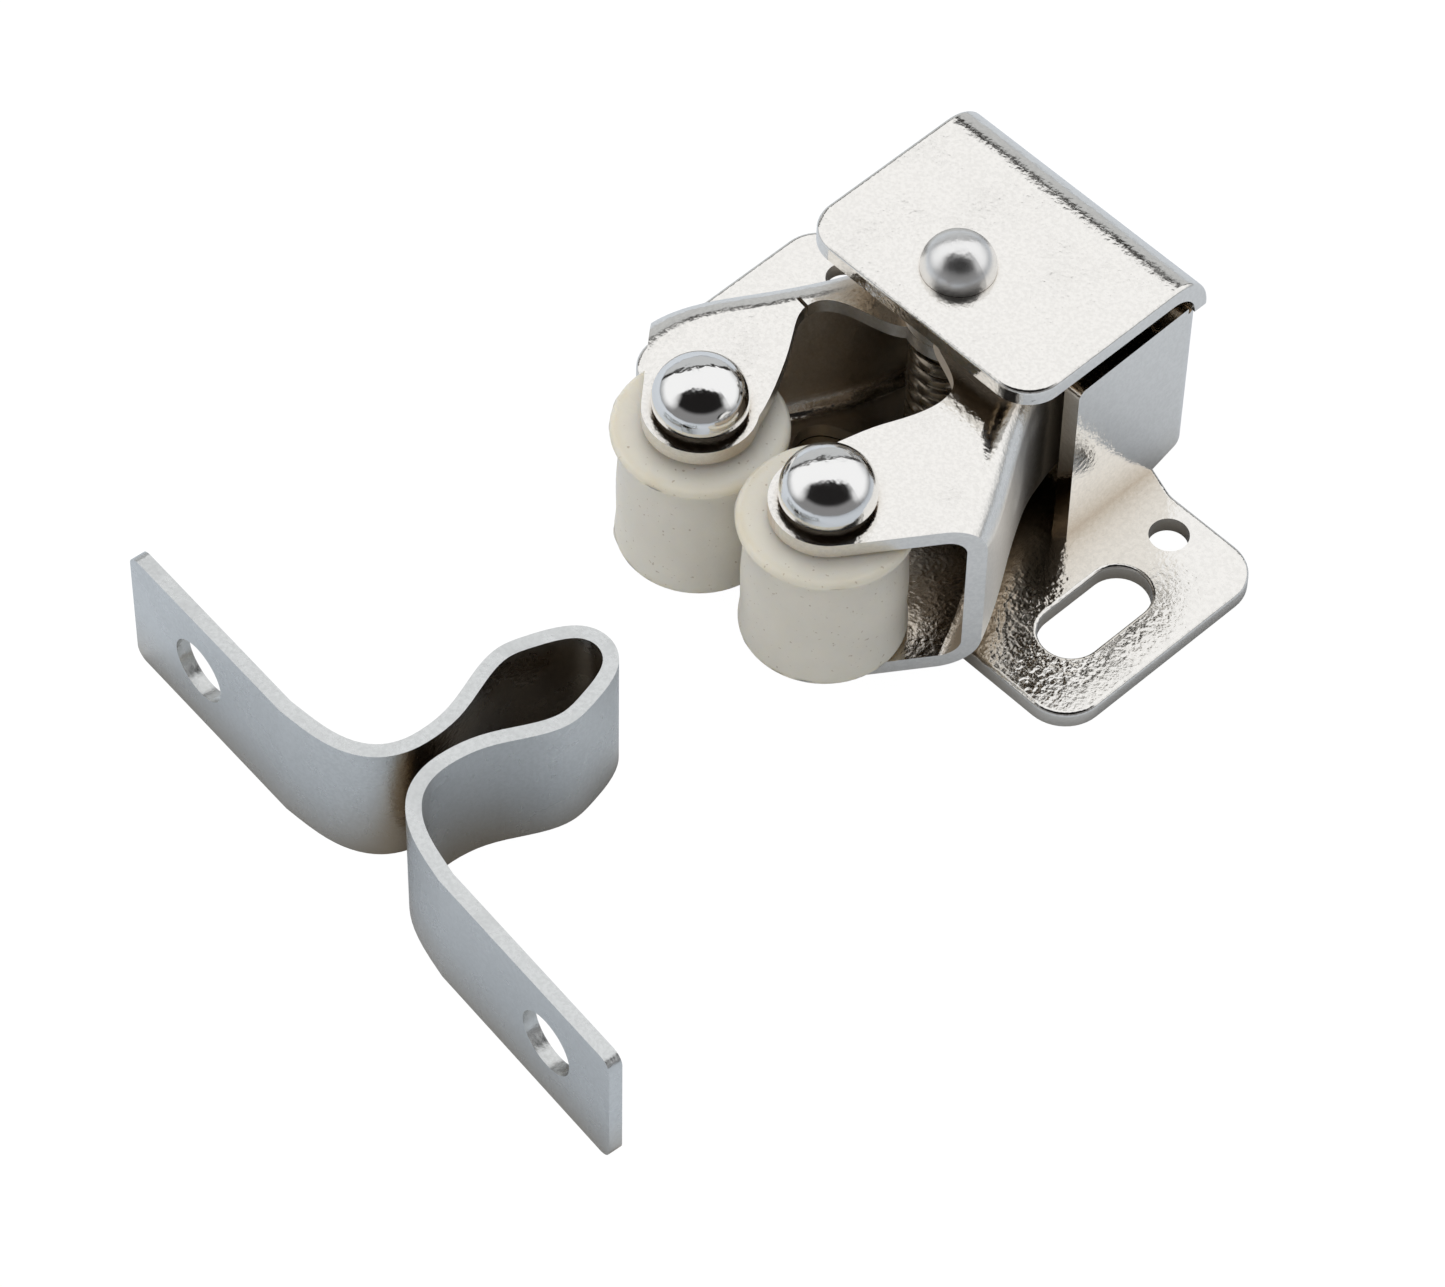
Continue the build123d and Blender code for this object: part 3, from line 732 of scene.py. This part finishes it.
def studio_camera(settings):
    """Camera on a sphere round the point that it looks at, rolled about its line of sight."""
    azimuth = settings.camera_azimuth
    elevation = settings.camera_elevation
    back = Vector((math.sin(azimuth) * math.cos(elevation),
                   -math.cos(azimuth) * math.cos(elevation), math.sin(elevation)))
    level = Vector((math.cos(azimuth), math.sin(azimuth), 0.0))
    rise = back.cross(level)
    right = level * math.cos(settings.camera_roll) + rise * math.sin(settings.camera_roll)
    up = back.cross(right)
    data = bpy.data.cameras.new("studio_camera")
    data.sensor_width = SENSOR_WIDTH
    data.lens = settings.camera_lens
    data.clip_start, data.clip_end = CAMERA_CLIP
    camera = bpy.data.objects.new("studio_camera", data)
    bpy.context.scene.collection.objects.link(camera)
    place = Vector(settings.camera_target) + back * settings.camera_distance
    camera.matrix_world = Matrix((
        (right.x, up.x, back.x, place.x), (right.y, up.y, back.y, place.y),
        (right.z, up.z, back.z, place.z), (0.0, 0.0, 0.0, 1.0)))
    bpy.context.scene.camera = camera


# Operators

class CATCH_OT_housing(bpy.types.Operator):
    """Plate the folded housing"""

    bl_idname = "catch.housing"
    bl_label = "Housing"

    def execute(self, context):
        settings = context.scene.catch_plate
        paint("housing", plated_steel(
            "housing_bright_plate", settings.plate_colour, settings, HOUSING_ROUGHNESS,
            recess_share=0.8, etched=True))
        return {"FINISHED"}


class CATCH_OT_arms(bpy.types.Operator):
    """Plate the two channel arms"""

    bl_idname = "catch.arms"
    bl_label = "Arms"

    def execute(self, context):
        settings = context.scene.catch_plate
        for side, outwards in (("left", 0.0), ("right", 1.0)):
            paint(side + "_arm", plated_steel(
                side + "_arm_bright_plate", settings.plate_colour, settings, ARM_ROUGHNESS,
                recess_share=0.9, film_share=0.7, upright_matt=settings.web_matt, outwards=outwards))
        return {"FINISHED"}


class CATCH_OT_rivets(bpy.types.Operator):
    """Polish the pivot rivet and the two axle rivets"""

    bl_idname = "catch.rivets"
    bl_label = "Rivets"

    def execute(self, context):
        settings = context.scene.catch_plate
        for node, head_radius, roughness in RIVETS:
            paint(node, polished_rivet(node + "_polish", settings, node, head_radius, roughness))
        return {"FINISHED"}


class CATCH_OT_rollers(bpy.types.Operator):
    """Mould the two nylon rollers and the flash at their rims"""

    bl_idname = "catch.rollers"
    bl_label = "Rollers"

    def execute(self, context):
        settings = context.scene.catch_nylon
        inset = settings.rim_inset
        for side, seed in (("left", 0), ("right", 10)):
            node = side + "_roller"
            nylon = moulded_nylon(node + "_nylon", settings, node)
            paint(node, nylon)
            low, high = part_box(node)
            centre = ((low.x + high.x) / 2, (low.y + high.y) / 2)
            for rim, height, rim_seed in (("upper", high.z - inset, 3), ("lower", low.z + inset, 5)):
                radius = reach_between(node, centre, height - inset / 2, height + inset / 2)
                ring = flash_ring(
                    f"{side}_roller_{rim}_flash", centre,
                    radius - settings.flash_thick * FLASH_SUNK, height,
                    settings.flash_proud, settings.flash_thick, seed + rim_seed)
                ring.data.materials.append(nylon)
                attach(ring, side + "_wheel")
        return {"FINISHED"}


class CATCH_OT_spring(bpy.types.Operator):
    """Oil the torsion spring"""

    bl_idname = "catch.spring"
    bl_label = "Spring"

    def execute(self, context):
        paint("spring", spring_wire(context.scene.catch_plate))
        return {"FINISHED"}


class CATCH_OT_strike(bpy.types.Operator):
    """Plate the folded strike"""

    bl_idname = "catch.strike"
    bl_label = "Strike"

    def execute(self, context):
        settings = context.scene.catch_plate
        paint("strike", plated_steel(
            "strike_satin_plate", settings.strike_colour, settings, STRIKE_ROUGHNESS, pebble_share=0.8))
        return {"FINISHED"}


class CATCH_OT_stage(bpy.types.Operator):
    """Build the floor, sky, lamps and camera"""

    bl_idname = "catch.stage"
    bl_label = "Studio"

    def execute(self, context):
        settings = context.scene.catch_stage
        low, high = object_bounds()
        half = FLOOR_HALF
        corner = np.array([[[-half, -half], [half, -half]], [[-half, half], [half, half]]])
        level = np.full((2, 2, 1), low.z - FLOOR_DROP)
        floor = surface_object("floor", np.concatenate((corner, level), axis=-1), False, False)
        floor.data.materials.append(studio_floor(settings))
        floor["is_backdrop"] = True
        studio_sky(settings)
        middle = (low + high) / 2
        soft_lamp("key_lamp", middle + KEY_PLACE, middle, KEY_SIZE, settings.key_power)
        soft_lamp("fill_lamp", middle + FILL_PLACE, middle, FILL_SIZE, settings.fill_power)
        studio_camera(settings)
        context.scene.view_settings.view_transform = "Standard"
        return {"FINISHED"}


class CATCH_PT_panel(bpy.types.Panel):
    """Lists the steps that dress the catch"""

    bl_idname = "CATCH_PT_panel"
    bl_label = "Double Roller Catch"
    bl_space_type = "VIEW_3D"
    bl_region_type = "UI"
    bl_category = "Catch"

    def draw(self, context):
        layout = self.layout
        for group in ("catch_plate", "catch_nylon", "catch_stage"):
            settings = getattr(context.scene, group)
            for name in settings.__annotations__:
                layout.prop(settings, name)
        for step in STEPS:
            layout.operator(step.bl_idname)


STEPS = (CATCH_OT_housing, CATCH_OT_arms, CATCH_OT_rivets, CATCH_OT_rollers, CATCH_OT_spring,
         CATCH_OT_strike, CATCH_OT_stage)
CLASSES = (CatchPlateSettings, CatchNylonSettings, CatchStageSettings, *STEPS, CATCH_PT_panel)


def register():
    """Registers the classes and hangs the settings on the scene."""
    for cls in CLASSES:
        bpy.utils.register_class(cls)
    bpy.types.Scene.catch_plate = bpy.props.PointerProperty(type=CatchPlateSettings)
    bpy.types.Scene.catch_nylon = bpy.props.PointerProperty(type=CatchNylonSettings)
    bpy.types.Scene.catch_stage = bpy.props.PointerProperty(type=CatchStageSettings)


def unregister():
    """Takes the settings and classes off again."""
    del bpy.types.Scene.catch_stage
    del bpy.types.Scene.catch_nylon
    del bpy.types.Scene.catch_plate
    for cls in reversed(CLASSES):
        bpy.utils.unregister_class(cls)


def main():
    """Dresses the catch piece by piece."""
    register()
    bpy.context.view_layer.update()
    for step in STEPS:
        area, name = step.bl_idname.split(".")
        getattr(getattr(bpy.ops, area), name)()


if __name__ == "__main__":
    main()
